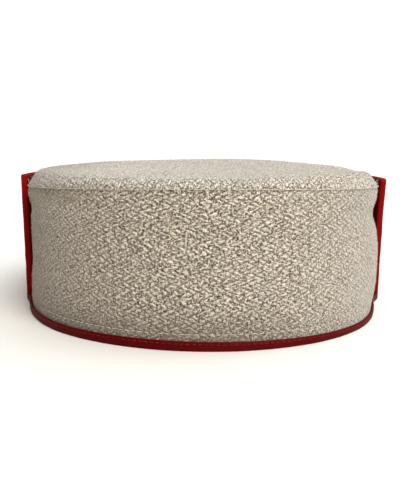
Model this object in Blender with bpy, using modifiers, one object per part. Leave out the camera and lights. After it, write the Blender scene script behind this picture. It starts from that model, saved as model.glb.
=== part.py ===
"""A flat-topped woollen hill cap that rests on its open rim.

The crown is a top disc sewn to an oval side wall of herringbone wool. A red
band stands round the front half, from side to side, leaning a little away from
the wall, with red tape over its two ends and along its top edge. A red tape
binds the rim all round: it folds over the wall at the back, swells out to meet
the band's ends, and runs on under the wall and the band at the front.

Metres, +Z up. The wearer's face is towards -Y, so the plain back of the cap is
towards +Y. Directions are angles from +X, counter-clockwise seen from above:
0 is the wearer's left side, 90 the back, 180 the right side and 270 the front.
"""

import math

import bpy
from mathutils import Matrix, Vector

# Crown
CROWN_WIDTH = 0.184
CROWN_LENGTH = 0.205
OVAL_TURN = math.radians(12.5)
SEAM_HEIGHT = 0.067
SHOULDER_RISE = 0.005
SHOULDER_INSET = 0.008
WOOL = 0.0024

# Tape that binds the rim and the band's edges
TAPE = 0.0012
TAPE_DEEP = 0.0040
TAPE_ROUND = 0.0004

# The tape's lip in front, where it has no outer leg, and the length over which it swells to the band
LIP = 0.0002
SWELLS_OVER = 0.016

# Front band. It stands closer to the wall at its left end, over BAND_LEFT_WIDE
# degrees, and lower at its right end. BAND_CLOSE_ROW is a share of BAND_THINS_OVER.
BAND = 0.0028
BAND_EDGE = 0.0010
BAND_ABOVE_SEAM = 0.0008
BAND_RIGHT_DROP = 0.0022
BAND_TOP_OUT = 0.0049
BAND_LEFT_IN = 0.0036
BAND_LEFT_WIDE = 50.0
BAND_PAST_SIDE = math.radians(3.0)
BAND_THINS_OVER = 0.0040
BAND_CLOSE_ROW = 0.2
BAND_CLEAR = 0.0004

# Pieces that touch keep this far apart
GAP = 0.0003

# Facets round the oval, and rows up the band
SIDES = 72
BAND_ROWS = 8

# Rings of the side wall, hem to seam. up is a share of the wall's height above
# the rim tape, or of the tape's own depth in the first two rows. out is a share
# of the wool's thickness, outwards from the oval.
WALL_RINGS = (
    {"of": "tape", "up": 0.00, "out": -0.33},
    {"of": "tape", "up": 1.00, "out": -0.33},
    {"of": "wall", "up": 0.07, "out": -0.22},
    {"of": "wall", "up": 0.24, "out": -0.02},
    {"of": "wall", "up": 0.42, "out": 0.03},
    {"of": "wall", "up": 0.58, "out": 0.03},
    {"of": "wall", "up": 0.72, "out": 0.00},
    {"of": "wall", "up": 0.82, "out": 0.00},
    {"of": "wall", "up": 0.92, "out": -0.03},
    {"of": "wall", "up": 1.00, "out": -0.08},
)

# Rings of the shoulder, seam to flat. inset is a share of SHOULDER_INSET, and
# up is a share of the way from the seam to the flat of the crown.
SHOULDER_RINGS = (
    {"inset": 0.02, "up": 0.00},
    {"inset": -0.12, "up": 0.12},
    {"inset": -0.27, "up": 0.30},
    {"inset": -0.24, "up": 0.52},
    {"inset": 0.02, "up": 0.78},
    {"inset": 0.42, "up": 0.93},
    {"inset": 1.00, "up": 1.00},
)

# Rings of the flat, as shares of the way from its edge to its middle
FLAT_RINGS = (0.16, 0.38, 0.66)

# How the rim tape swells to the band's ends: past is a share of SWELLS_OVER from
# the end, and out is a share of the way from the wall's side to the band's.
SWELL = (
    {"past": 0.00, "out": 1.00},
    {"past": 0.20, "out": 0.78},
    {"past": 0.50, "out": 0.40},
    {"past": 1.00, "out": 0.00},
)

# Dents and swells of the wall. toward and wide are degrees, at and tall are
# shares of the wall's height, and deep is a share of the wool's thickness,
# inwards. wide and tall are the distance to where a dent has faded to a third.
DENTS = (
    {"name": "right shoulder dent", "toward": 164, "at": 0.78, "deep": 1.10, "wide": 24, "tall": 0.12},
    {"name": "right shoulder press", "toward": 178, "at": 1.00, "deep": 0.60, "wide": 28, "tall": 0.07},
    {"name": "right side swell", "toward": 160, "at": 0.45, "deep": -0.50, "wide": 45, "tall": 0.45},
    {"name": "right rim tuck", "toward": 166, "at": 0.00, "deep": 0.55, "wide": 20, "tall": 0.10},
    {"name": "left side hollow", "toward": 8, "at": 0.62, "deep": 0.60, "wide": 40, "tall": 0.90},
    {"name": "left shoulder press", "toward": -8, "at": 1.00, "deep": 0.90, "wide": 18, "tall": 0.07},
    {"name": "left shoulder crease", "toward": 52, "at": 0.90, "deep": 0.35, "wide": 24, "tall": 0.07},
    {"name": "back swell", "toward": 96, "at": 0.45, "deep": -0.30, "wide": 34, "tall": 0.30},
    {"name": "right rim flare", "toward": 130, "at": 0.00, "deep": -0.60, "wide": 24, "tall": 0.16},
    {"name": "left rim flare", "toward": 44, "at": 0.00, "deep": -0.60, "wide": 24, "tall": 0.16},
)

# Where the seam hangs lower than SEAM_HEIGHT. drop is a share of the height
# from the seam to the flat.
SEAM_DROPS = (
    {"name": "right side", "toward": 178, "drop": 0.85, "wide": 45},
    {"name": "left side", "toward": 2, "drop": 0.80, "wide": 45},
    {"name": "back rise", "toward": 92, "drop": -0.20, "wide": 30},
)

# Soft spots of the flat. x and y are shares of the oval's half sizes, rise is a
# share of the wool's thickness, and wide is a share of the mean half size.
SOFT_SPOTS = (
    {"name": "middle sag", "x": 0.00, "y": -0.05, "rise": -0.55, "wide": 0.55},
    {"name": "back left swell", "x": 0.35, "y": 0.40, "rise": 0.22, "wide": 0.30},
    {"name": "right edge droop", "x": -1.02, "y": 0.00, "rise": -1.50, "wide": 0.31},
    {"name": "left edge droop", "x": 0.95, "y": 0.00, "rise": -0.35, "wide": 0.35},
    {"name": "front swell", "x": -0.20, "y": -0.60, "rise": 0.18, "wide": 0.28},
)

# Colours (linear) and roughness
FINISHES = {
    "wool": {"colour": (0.42, 0.37, 0.29, 1.0), "roughness": 0.95},
    "red_cloth": {"colour": (0.19, 0.006, 0.008, 1.0), "roughness": 0.80},
    "red_tape": {"colour": (0.22, 0.004, 0.006, 1.0), "roughness": 0.60},
}

# Height of the crown's flat, and of the band's top edge
CROWN_HEIGHT = SEAM_HEIGHT + SHOULDER_RISE
BAND_HEIGHT = SEAM_HEIGHT + BAND_ABOVE_SEAM

# The wall's lower edge rides on the rim tape, and so does the band's
HEM_LIFT = TAPE + GAP
BAND_BASE = TAPE + LIP + 2 * GAP

# Half the thickness of the band's edge with its tape on
BAND_HALF = BAND_EDGE / 2 + GAP + TAPE


def fade(distance, width):
    """1 at no distance, falling smoothly to about a third at width."""
    return math.exp(-((distance / width) ** 2))


def turn_between(direction, toward):
    """The angle in degrees from a direction in radians to one in degrees, the short way round."""
    return (math.degrees(direction) - toward + 180.0) % 360.0 - 180.0


def oval_point(direction, out):
    """(point, outward normal) of the crown's oval at a direction, moved outwards by out."""
    half = Vector((CROWN_WIDTH / 2, CROWN_LENGTH / 2))
    along = Vector((math.cos(direction - OVAL_TURN), math.sin(direction - OVAL_TURN)))
    reach = 1 / math.hypot(along.x / half.x, along.y / half.y)
    on_oval = along * reach
    normal = Vector((on_oval.x / half.x**2, on_oval.y / half.y**2)).normalized()
    turned = Matrix.Rotation(OVAL_TURN, 2)
    return turned @ (on_oval + normal * out), turned @ normal


def seam_height(direction):
    """Height of the seam between the wall and the crown's top."""
    drop = sum(row["drop"] * fade(turn_between(direction, row["toward"]), row["wide"]) for row in SEAM_DROPS)
    return SEAM_HEIGHT - drop * SHOULDER_RISE


def dented(direction, up):
    """How far the wall is pushed in at a direction and a share of its height."""
    return WOOL * sum(
        row["deep"]
        * fade(turn_between(direction, row["toward"]), row["wide"])
        * fade(up - row["at"], row["tall"])
        for row in DENTS
    )


def wall_place(direction, ring):
    """(height, out) of one ring of the wall's outer face, out being outwards from the oval."""
    if ring["of"] == "tape":
        height = HEM_LIFT + ring["up"] * (TAPE_DEEP + GAP - HEM_LIFT)
        return height, ring["out"] * WOOL - dented(direction, 0.0)
    top = seam_height(direction) - GAP
    return TAPE_DEEP + ring["up"] * (top - TAPE_DEEP), ring["out"] * WOOL - dented(direction, ring["up"])


def hem_out(direction):
    """How far the wall's outer face stands outside the oval where the tape binds it."""
    return wall_place(direction, WALL_RINGS[0])[1]


def flat_height(place):
    """Height of the crown's flat over a point of the plan."""
    height = CROWN_HEIGHT
    for spot in SOFT_SPOTS:
        middle = Vector((spot["x"] * CROWN_WIDTH / 2, spot["y"] * CROWN_LENGTH / 2))
        width = spot["wide"] * (CROWN_WIDTH + CROWN_LENGTH) / 4
        height += spot["rise"] * WOOL * fade((place - middle).length, width)
    return height


def shoulder_place(direction, ring):
    """(height, out) of one ring of the shoulder."""
    out = -ring["inset"] * SHOULDER_INSET - dented(direction, 1.0)
    low = seam_height(direction)
    return low + ring["up"] * (flat_height(oval_point(direction, out)[0]) - low), out


def side_point(direction, place):
    """The point at a (height, out)."""
    height, out = place
    plan, _ = oval_point(direction, out)
    return Vector((plan.x, plan.y, height))


def flat_point(direction, share):
    """A point of the crown's flat, a share of the way from its edge to its middle."""
    plan, _ = oval_point(direction, shoulder_place(direction, SHOULDER_RINGS[-1])[1])
    plan = plan * (1 - share)
    return Vector((plan.x, plan.y, flat_height(plan)))


def band_top(direction):
    """Height of the band's top edge."""
    share = (direction - math.pi) / math.pi
    return BAND_HEIGHT - BAND_RIGHT_DROP * (1 - share)


def band_outs(direction):
    """How far outside the oval the band's middle stands at its base and at BAND_HEIGHT, clear of the side."""
    side = [wall_place(direction, ring) for ring in WALL_RINGS]
    side += [shoulder_place(direction, ring) for ring in SHOULDER_RINGS]
    tall = BAND_HEIGHT - BAND_BASE
    clear = [((height - BAND_BASE) / tall, out + BAND_CLEAR + BAND_HALF) for height, out in side]
    low = max(out for share, out in clear if share < 0.5)
    top = BAND_TOP_OUT - BAND_LEFT_IN * fade(turn_between(direction, 0.0), BAND_LEFT_WIDE)
    needed = max(low + (out - low) / share for share, out in clear if 0.5 <= share <= 1.0)
    return low, max(top, needed)


def band_middle(direction, height):
    """A point midway through the band's thickness, and the outward normal of the plan there."""
    low, top = band_outs(direction)
    out = low + (height - BAND_BASE) / (BAND_HEIGHT - BAND_BASE) * (top - low)
    plan, normal = oval_point(direction, out)
    return Vector((plan.x, plan.y, height)), Vector((normal.x, normal.y, 0.0))


def finish(name):
    """The material of that name, made once."""
    found = bpy.data.materials.get(name)
    if found:
        return found
    made = bpy.data.materials.new(name)
    made.use_nodes = True
    shader = made.node_tree.nodes["Principled BSDF"]
    shader.inputs["Base Color"].default_value = FINISHES[name]["colour"]
    shader.inputs["Roughness"].default_value = FINISHES[name]["roughness"]
    shader.inputs["Metallic"].default_value = 0.0
    made.diffuse_color = FINISHES[name]["colour"]
    return made


def make_piece(name, material, points, faces, root):
    """One named object of the cap, smooth shaded and standing in the root's frame."""
    mesh = bpy.data.meshes.new(name)
    mesh.from_pydata(points, [], faces)
    mesh.shade_smooth()
    mesh.set_sharp_from_angle(angle=math.radians(50))
    mesh.materials.append(finish(material))
    piece = bpy.data.objects.new(name, mesh)
    piece.parent = root
    collection.objects.link(piece)
    return piece


def skin(rows, close_rows=False, close_ends=False):
    """Quads between rows of points. close_rows joins each row's ends, and close_ends the last row to the first."""
    count = len(rows[0])
    faces = []
    for i in range(len(rows) if close_ends else len(rows) - 1):
        low = i * count
        high = (i + 1) % len(rows) * count
        for j in range(count if close_rows else count - 1):
            after = (j + 1) % count
            faces.append((low + j, low + after, high + after, high + j))
    return [point for row in rows for point in row], faces


def solidify(piece, thickness, offset):
    """Gives an open surface its cloth's thickness."""
    shell = piece.modifiers.new("cloth", "SOLIDIFY")
    shell.thickness = thickness
    shell.offset = offset
    shell.use_even_offset = True
    return shell


def tape_section(inner, outer, leg):
    """A tape folded round an edge, as (across, deep), from its inner to its outer face, its outer leg leg deep."""
    return (
        (inner, TAPE_DEEP),
        (inner, TAPE_ROUND),
        (inner + TAPE_ROUND, 0.0),
        (outer - TAPE_ROUND, 0.0),
        (outer, TAPE_ROUND),
        (outer, leg),
        (outer - TAPE, leg),
        (outer - TAPE, TAPE),
        (inner + TAPE, TAPE),
        (inner + TAPE, TAPE_DEEP),
    )


def place_section(place, across, deep, section):
    """The section's points about a place on the folded edge."""
    return [place + across * a + deep * d for a, d in section]


def make_crown_wall(root):
    """The oval side wall, open above and below."""
    rows = [
        [side_point(2 * math.pi * k / SIDES, wall_place(2 * math.pi * k / SIDES, ring)) for k in range(SIDES)]
        for ring in WALL_RINGS
    ]
    piece = make_piece("crown_wall", "wool", *skin(rows, close_rows=True), root)
    solidify(piece, WOOL, -1.0)
    return piece


def make_crown_top(root):
    """The top disc, with its turned-down edge."""
    directions = [2 * math.pi * k / SIDES for k in range(SIDES)]
    rows = [[side_point(d, shoulder_place(d, ring)) for d in directions] for ring in SHOULDER_RINGS]
    rows += [[flat_point(d, share) for d in directions] for share in FLAT_RINGS]
    points, faces = skin(rows, close_rows=True)
    points.append(Vector((0.0, 0.0, flat_height(Vector((0.0, 0.0))))))
    middle = len(points) - 1
    inner = middle - SIDES
    faces += [(inner + k, inner + (k + 1) % SIDES, middle) for k in range(SIDES)]
    piece = make_piece("crown_top", "wool", points, faces, root)
    solidify(piece, WOOL, -1.0)
    return piece


def make_rim_tape(root):
    """The red tape under the rim: folded over the wall behind, and under the wall and the band in front."""
    behind = WOOL / 2 + GAP + TAPE
    band = band_directions(-GAP)
    sections = [(direction, 1.0, TAPE + LIP) for direction in band]
    for end, way in ((band[-1], 1.0), (band[0] + 2 * math.pi, -1.0)):
        for row in SWELL:
            past = GAP + row["past"] * (SWELLS_OVER - GAP)
            sections.append((end + way * past / (CROWN_WIDTH / 2), row["out"], TAPE_DEEP))
    swollen = SWELLS_OVER / (CROWN_WIDTH / 2) + math.pi / SIDES
    first, last = band[-1] + swollen, band[0] + 2 * math.pi - swollen
    count = round(SIDES * (last - first) / (2 * math.pi))
    sections += [(first + (last - first) * k / count, 0.0, TAPE_DEEP) for k in range(count + 1)]
    rows = []
    for direction, swell, leg in sorted(sections, reverse=True):
        middle = hem_out(direction) - WOOL / 2
        plan, normal = oval_point(direction, middle)
        across = Vector((normal.x, normal.y, 0.0))
        in_front = band_outs(direction)[0] + BAND_HALF - middle
        section = tape_section(-behind, behind + swell * (in_front - behind), leg)
        rows.append(place_section(Vector((plan.x, plan.y, 0.0)), across, Vector((0.0, 0.0, 1.0)), section))
    points, faces = skin(rows, close_rows=True, close_ends=True)
    return make_piece("rim_tape", "red_tape", points, faces, root)


def band_directions(inset):
    """Directions along the front band from its right to its left end, both ends brought in by inset metres."""
    turn = inset / (CROWN_WIDTH / 2 + BAND_TOP_OUT)
    first = math.pi - BAND_PAST_SIDE + turn
    last = 2 * math.pi + BAND_PAST_SIDE - turn
    count = round(SIDES * (last - first) / (2 * math.pi))
    return [first + (last - first) * k / count for k in range(count + 1)]


def band_heights(direction):
    """Heights of the band's rows, bottom to top, with close rows where it thins into its tape."""
    top = band_top(direction) - TAPE - GAP
    taped = band_top(direction) - TAPE_DEEP
    full = taped - BAND_THINS_OVER
    evenly = [BAND_BASE + (full - BAND_BASE) * k / BAND_ROWS for k in range(BAND_ROWS)]
    return evenly + [full, taped - BAND_THINS_OVER * BAND_CLOSE_ROW, taped, top]


def make_front_band(root):
    """The band that stands round the front half, thinned where the tape holds its edges."""
    deep = TAPE_DEEP - TAPE - GAP
    reach = CROWN_WIDTH / 2 + BAND_TOP_OUT
    directions = band_directions(TAPE + GAP)
    directions[1:1] = [directions[0] + deep / reach]
    directions[-1:-1] = [directions[-1] - deep / reach]
    columns = [[band_middle(d, height)[0] for height in band_heights(d)] for d in directions]
    shares = []
    for direction in directions:
        for height in band_heights(direction):
            from_end = min(direction - directions[0], directions[-1] - direction) * reach - deep
            from_top = band_top(direction) - TAPE_DEEP - height
            shares.append(min(max(min(from_end, from_top) / BAND_THINS_OVER, 0.0), 1.0))
    points, faces = skin(columns)
    piece = make_piece("front_band", "red_cloth", points, [tuple(reversed(face)) for face in faces], root)
    full = piece.vertex_groups.new(name="full_thickness")
    for vertex, share in enumerate(shares):
        full.add([vertex], share, "REPLACE")
    cloth = solidify(piece, BAND, 0.0)
    cloth.vertex_group = full.name
    cloth.thickness_vertex_group = BAND_EDGE / BAND
    return piece


def end_station(direction, height, way):
    """(place, across, deep) of the tape at an end of the band, where deep runs into the band."""
    place, across = band_middle(direction, height)
    reach = CROWN_WIDTH / 2 + BAND_TOP_OUT
    within, _ = band_middle(direction + way * TAPE_DEEP / reach, height)
    return place, across, (within - place) / TAPE_DEEP


def top_station(direction):
    """(place, across, deep) of the tape at the band's top edge, where deep runs down the band."""
    place, across = band_middle(direction, band_top(direction))
    within, _ = band_middle(direction, band_top(direction) - TAPE_DEEP)
    return place, across, (within - place) / TAPE_DEEP


def make_band_tape(root):
    """The red tape up one end of the band, along its top edge and down the other end."""
    directions = band_directions(0.0)
    first, last = directions[0], directions[-1]
    stations = [end_station(first, height, 1.0) for height in band_heights(first)[:-2]]
    for direction in directions:
        place, across, deep = top_station(direction)
        if direction == first:
            deep = deep + end_station(first, band_top(first), 1.0)[2]
        if direction == last:
            deep = deep + end_station(last, band_top(last), -1.0)[2]
        stations.append((place, across, deep))
    stations += [end_station(last, height, -1.0) for height in reversed(band_heights(last)[:-2])]
    section = tape_section(-BAND_HALF, BAND_HALF, TAPE_DEEP)
    rows = [place_section(*station, section) for station in stations]
    points, faces = skin(rows, close_rows=True)
    faces.append(tuple(reversed(range(len(section)))))
    faces.append(tuple(range(len(points) - len(section), len(points))))
    return make_piece("band_tape", "red_tape", points, faces, root)


def centre_over_origin(root, pieces):
    """Moves the cap so that the middle of its box is over the origin."""
    points = [vertex.co for piece in pieces for vertex in piece.data.vertices]
    for axis in (0, 1):
        low = min(point[axis] for point in points)
        high = max(point[axis] for point in points)
        root.location[axis] = -(low + high) / 2


for old in list(bpy.data.objects):
    bpy.data.objects.remove(old, do_unlink=True)

collection = bpy.data.collections.new("hill_cap")
bpy.context.scene.collection.children.link(collection)
cap = bpy.data.objects.new("cap", None)
collection.objects.link(cap)

cap_pieces = [
    make_crown_wall(cap),
    make_crown_top(cap),
    make_rim_tape(cap),
    make_front_band(cap),
    make_band_tape(cap),
]
centre_over_origin(cap, cap_pieces)
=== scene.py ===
"""The looks of a flat-topped woollen hill cap, seen from behind as it rests on its rim.

Herringbone tweed with a raised, fuzzy weave covers the side wall and the top.
Red tape binds the rim and the edges of the red velvet band that stands round
the front. Metres, +Z up, with the back of the cap towards +Y.

Directions are angles in radians from +X, counter-clockwise seen from above.
A row of points runs round the cap in that sense, and rows are stacked upwards.
The weave is drawn in millimetres of cloth, kept on each vertex as "weave".
"""

import math
from itertools import pairwise

import bpy
import numpy as np
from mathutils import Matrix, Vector


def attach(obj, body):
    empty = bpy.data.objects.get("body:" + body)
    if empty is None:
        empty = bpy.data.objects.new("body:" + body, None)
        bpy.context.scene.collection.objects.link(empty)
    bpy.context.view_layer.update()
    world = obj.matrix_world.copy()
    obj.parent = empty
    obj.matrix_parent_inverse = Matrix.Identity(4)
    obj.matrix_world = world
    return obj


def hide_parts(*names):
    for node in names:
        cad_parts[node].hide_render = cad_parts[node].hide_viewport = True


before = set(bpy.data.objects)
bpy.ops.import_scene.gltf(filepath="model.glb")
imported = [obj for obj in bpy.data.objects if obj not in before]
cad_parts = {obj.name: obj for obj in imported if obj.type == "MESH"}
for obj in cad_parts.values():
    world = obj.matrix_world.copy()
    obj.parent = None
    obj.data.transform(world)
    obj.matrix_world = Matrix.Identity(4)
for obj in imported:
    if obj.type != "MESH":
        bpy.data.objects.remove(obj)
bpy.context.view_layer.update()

MM = 0.001

# Crown, as the solids have it
CROWN_WIDTH = 0.184
CROWN_LENGTH = 0.205
OVAL_TURN = math.radians(12.5)
CAP_MIDDLE = np.array([0.001665, 0.002304, 0.0])
SEAM_HEIGHT = 0.067
SHOULDER_RISE = 0.005
SHOULDER_INSET = 0.008
CROWN_HEIGHT = SEAM_HEIGHT + SHOULDER_RISE
WOOL = 0.0024
GAP = 0.0003

# Tape and band, as the solids have them
TAPE = 0.0012
TAPE_DEEP = 0.0040
LIP = 0.0002
SWELLS_OVER = 0.016
BAND = 0.0028
BAND_EDGE = 0.0010
BAND_RIGHT_DROP = 0.0022
BAND_TOP_OUT = 0.0050
BAND_LEFT_IN = 0.0032
BAND_FLARE = 0.0009
BAND_LEFT_WIDE = 50.0
BAND_PAST_SIDE = math.radians(3.0)
BAND_THINS_OVER = 0.0040
BAND_CLEAR = 0.0004
BAND_HEIGHT = SEAM_HEIGHT + 0.0008
HEM_LIFT = TAPE + GAP
BAND_BASE = TAPE + LIP + 2 * GAP
BAND_HALF = BAND_EDGE / 2 + GAP + TAPE

# (up, out) of the side wall above the tape, (inset, up) of the shoulder, and
# (past, out) of the rim tape where it swells to the band's ends
WALL_PROFILE = np.array([
    (0.00, -0.33), (0.07, -0.22), (0.24, -0.02), (0.42, 0.03), (0.58, 0.03),
    (0.72, 0.00), (0.82, -0.01), (0.92, -0.09), (1.00, -0.24),
])
SHOULDER_PROFILE = np.array([
    (0.06, 0.00), (0.07, 0.12), (0.12, 0.30), (0.25, 0.52), (0.46, 0.78), (0.67, 0.93), (1.00, 1.00),
])
SWELL_PROFILE = np.array([(0.00, 1.00), (0.20, 0.78), (0.50, 0.40), (1.00, 0.00)])

# (toward, at, deep, wide, tall) of the wall's dents, (toward, drop, wide) of the
# seam's drops, and (x, y, rise, wide) of the flat's soft spots
DENTS = (
    (166, 0.785, 1.25, 24, 0.11), (166, 0.62, 0.25, 24, 0.10), (178, 1.00, 0.10, 28, 0.07),
    (160, 0.45, -0.28, 45, 0.45), (166, 0.00, 0.55, 20, 0.10), (8, 0.62, 0.60, 40, 0.90),
    (2, 0.58, 0.55, 24, 0.30), (2, 0.82, 0.50, 24, 0.06), (2, 0.35, 0.32, 24, 0.12),
    (2, 0.95, -0.35, 24, 0.06), (-8, 1.00, 0.20, 18, 0.07),
    (52, 0.90, 0.35, 24, 0.07), (96, 0.45, -0.30, 34, 0.30), (130, 0.00, -0.60, 24, 0.16),
    (44, 0.00, -0.60, 24, 0.16),
)
SEAM_DROPS = ((178, 0.85, 45), (2, 0.80, 45), (92, -0.20, 30))
SIDE_ROUNDER = 0.11
SOFT_SPOTS = (
    (0.00, -0.05, -0.55, 0.55), (0.35, 0.40, 0.22, 0.30), (-1.02, 0.00, -1.25, 0.31),
    (0.95, 0.00, -0.35, 0.35), (-0.20, -0.60, 0.18, 0.28), (-0.80, -0.52, -0.50, 0.30),
    (0.80, -0.45, -0.35, 0.28), (0.42, -0.88, -0.22, 0.35),
)

# Herringbone, in millimetres of cloth: the ribs' spacing along and across the
# chevron bands, and how tall a band is
RIB_ALONG = 4.3
RIB_UP = 1.9
CHEVRON = 3.05

# A rib is a run of short yarns, in millimetres along it. The yarns of the next
# rib, and of the next chevron band, begin a share of a yarn further on.
YARN_LONG = 3.3
YARN_SHIFT = 0.618
BAND_SHIFT = 0.43
RIB_SLOPE = math.atan(RIB_UP / RIB_ALONG)

# Relief of the weave, and the seam and stitch lines pressed into it
RIB_RELIEF = 0.28 * MM
SLUB_RELIEF = 0.15 * MM
SEAM_RIDGE = 0.04 * MM
SEAM_TUCK = 0.03 * MM
SEAM_OPEN = 0.03 * MM
STITCH_ABOVE_TAPE = 3.0 * MM
STITCH_TUCK = 0.30 * MM

# Spacing of the stitches: on the wool above the tape, in the top's seam, and in
# millimetres along the tape
HEM_STITCH = 3.1 * MM
SEAM_STITCH = 2.3 * MM
TAPE_STITCH = 2.6

# Directions where the fine back of the wall and of the top begin and end
BACK_FROM = math.radians(-8.0)
BACK_MIDDLE = math.radians(90.0)
BACK_TO = math.radians(188.0)

# Camera
EYE = Vector((-0.000675, 0.400904, 0.0928))
EYE_DOWN = 0.1658
LENS = 52.87


# Shapes of the cap


def fade(distance, width):
    """1 at no distance, falling smoothly to about a third at width."""
    return np.exp(-((distance / width) ** 2))


def turn_between(direction, toward):
    """Degrees from directions in radians to one in degrees, the short way round."""
    return (np.degrees(direction) - toward + 180.0) % 360.0 - 180.0


def through(table, at):
    """A smooth curve through a table of (place, value), read at places."""
    places, values = np.asarray(table, float).T
    slopes = np.gradient(values, places)
    i = np.clip(np.searchsorted(places, at, side="right") - 1, 0, len(places) - 2)
    width = places[i + 1] - places[i]
    t = (at - places[i]) / width
    start = values[i] * (1 + 2 * t) * (1 - t) ** 2 + slopes[i] * width * t * (1 - t) ** 2
    return start + values[i + 1] * t**2 * (3 - 2 * t) + slopes[i + 1] * width * t**2 * (t - 1)


def soft_noise(x, y, cell, seed):
    """Smooth random values from -1 to 1 over a plane, which change over cell."""
    grid = np.random.default_rng(seed).uniform(-1, 1, (97, 97))
    x, y = np.broadcast_arrays(x / cell, y / cell)
    i, j = np.floor(x).astype(int), np.floor(y).astype(int)
    u, v = x - i, y - j
    u, v = u * u * (3 - 2 * u), v * v * (3 - 2 * v)
    i, j, k, m = i % 97, j % 97, (i + 1) % 97, (j + 1) % 97
    low = grid[i, j] * (1 - u) + grid[k, j] * u
    return low * (1 - v) + (grid[i, m] * (1 - u) + grid[k, m] * u) * v


def oval(direction, out):
    """Plan points and outward normals of the crown's oval, moved outwards by out."""
    direction, out = np.broadcast_arrays(direction, out)
    half = np.array([CROWN_WIDTH / 2, CROWN_LENGTH / 2])
    along = np.stack([np.cos(direction - OVAL_TURN), np.sin(direction - OVAL_TURN)], -1)
    on_oval = along / np.linalg.norm(along / half, axis=-1, keepdims=True)
    normal = on_oval / half**2
    normal = normal / np.linalg.norm(normal, axis=-1, keepdims=True)
    turn = np.array([[math.cos(OVAL_TURN), math.sin(OVAL_TURN)], [-math.sin(OVAL_TURN), math.cos(OVAL_TURN)]])
    return (on_oval + normal * out[..., None]) @ turn, normal @ turn


def girth_to(direction):
    """Millimetres of cloth along the oval from direction 0."""
    dense = np.linspace(-math.tau, 2 * math.tau, 3001)
    steps = np.linalg.norm(np.diff(oval(dense, 0.0)[0], axis=0), axis=1)
    lengths = np.concatenate([[0.0], np.cumsum(steps)])
    lengths -= np.interp(0.0, dense, lengths)
    return np.interp(direction, dense, lengths) / MM


def standing(plan, height):
    """Points of the cap from a plan and heights, in the frame's own place."""
    height = np.broadcast_to(height, plan.shape[:-1])
    return np.concatenate([plan, height[..., None]], -1) + CAP_MIDDLE


def level(plan_normal):
    return np.concatenate([plan_normal, np.zeros_like(plan_normal[..., :1])], -1)


def seam_height(direction):
    drop = sum(drop * fade(turn_between(direction, toward), wide) for toward, drop, wide in SEAM_DROPS)
    return SEAM_HEIGHT - drop * SHOULDER_RISE


def dented(direction, up):
    return WOOL * sum(
        deep * fade(turn_between(direction, toward), wide) * fade(up - at, tall)
        for toward, at, deep, wide, tall in DENTS
    )


def flat_height(plan):
    height = np.full(plan.shape[:-1], CROWN_HEIGHT)
    for x, y, rise, wide in SOFT_SPOTS:
        away = np.linalg.norm(plan - np.array([x * CROWN_WIDTH / 2, y * CROWN_LENGTH / 2]), axis=-1)
        height = height + rise * WOOL * fade(away, wide * (CROWN_WIDTH + CROWN_LENGTH) / 4)
    return height


def wall_out(direction, height):
    """How far outside the oval the side wall's outer face stands."""
    top = seam_height(direction) - GAP
    up = np.clip((height - TAPE_DEEP) / (top - TAPE_DEEP), 0.0, 1.0)
    return WOOL * through(WALL_PROFILE, up) - dented(direction, up)


def tape_deep(direction):
    """How far the rim tape's outer leg rises behind. It is sewn a little unevenly."""
    rise = 0.45 * fade(turn_between(direction, 78), 26) - 0.75 * fade(turn_between(direction, 142), 28)
    return TAPE_DEEP + rise * MM


def hem_out(direction):
    return WALL_PROFILE[0, 1] * WOOL - dented(direction, 0.0)


def shoulder_out(direction, inset, up):
    """How far outside the oval the shoulder stands. It is rounder at the sides."""
    rounder = SIDE_ROUNDER * np.cos(direction) ** 4 * 4 * up * (1 - up)
    return -(inset + rounder) * SHOULDER_INSET - dented(direction, 1.0)


def shoulder(direction, inset, up):
    """(plan, height) of the shoulder at shares of its inset and rise."""
    plan, _ = oval(direction, shoulder_out(direction, inset, up))
    low = seam_height(direction)
    return plan, low + up * (flat_height(plan) - low)


def band_outs(direction):
    """How far outside the oval the band's middle stands at its base and at its top, clear of the side."""
    top = seam_height(direction) - GAP
    side = [(HEM_LIFT, hem_out(direction)), (TAPE_DEEP + GAP, hem_out(direction))]
    for up, out in WALL_PROFILE[1:]:
        side.append((TAPE_DEEP + up * (top - TAPE_DEEP), out * WOOL - dented(direction, up)))
    for inset, up in SHOULDER_PROFILE:
        side.append((shoulder(direction, inset, up)[1], shoulder_out(direction, inset, up)))
    tall = BAND_HEIGHT - BAND_BASE
    clear = [((height - BAND_BASE) / tall + 0 * out, out + BAND_CLEAR + BAND_HALF) for height, out in side]
    low = np.max([np.where(share < 0.5, out, -1.0) for share, out in clear], axis=0)
    high = BAND_TOP_OUT - BAND_LEFT_IN * fade(turn_between(direction, 0.0), BAND_LEFT_WIDE)
    needed = [
        np.where((share >= 0.5) & (share <= 1.0), low + (out - low) / np.maximum(share, 0.5), -1.0)
        for share, out in clear
    ]
    return low, np.maximum(high, np.max(needed, axis=0))


def band_middle(direction, height):
    """Points midway through the band's thickness, and the plan's outward normals there."""
    direction, height = np.broadcast_arrays(direction, height)
    low, top = band_outs(direction)
    share = (height - BAND_BASE) / (BAND_HEIGHT - BAND_BASE)
    flare = BAND_FLARE * fade(turn_between(direction, 180.0), 12.0) * np.clip(share, 0.0, 1.0) ** 9
    plan, normal = oval(direction, low + share * (top - low) + flare)
    return standing(plan, height), level(normal)


def band_top(direction):
    return BAND_HEIGHT - BAND_RIGHT_DROP * (2 - direction / math.pi)


# Cloth


def chevrons(along, up):
    """(phase in ribs, place along the rib in yarns) of the herringbone at millimetres of cloth."""
    zig = CHEVRON - np.abs(up % (2 * CHEVRON) - CHEVRON)
    phase = along / RIB_ALONG + zig / RIB_UP
    run = along * math.cos(RIB_SLOPE) - zig * math.sin(RIB_SLOPE)
    return phase, run / YARN_LONG + np.floor(phase + 0.5) * YARN_SHIFT + np.floor(up / CHEVRON) * BAND_SHIFT


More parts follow.
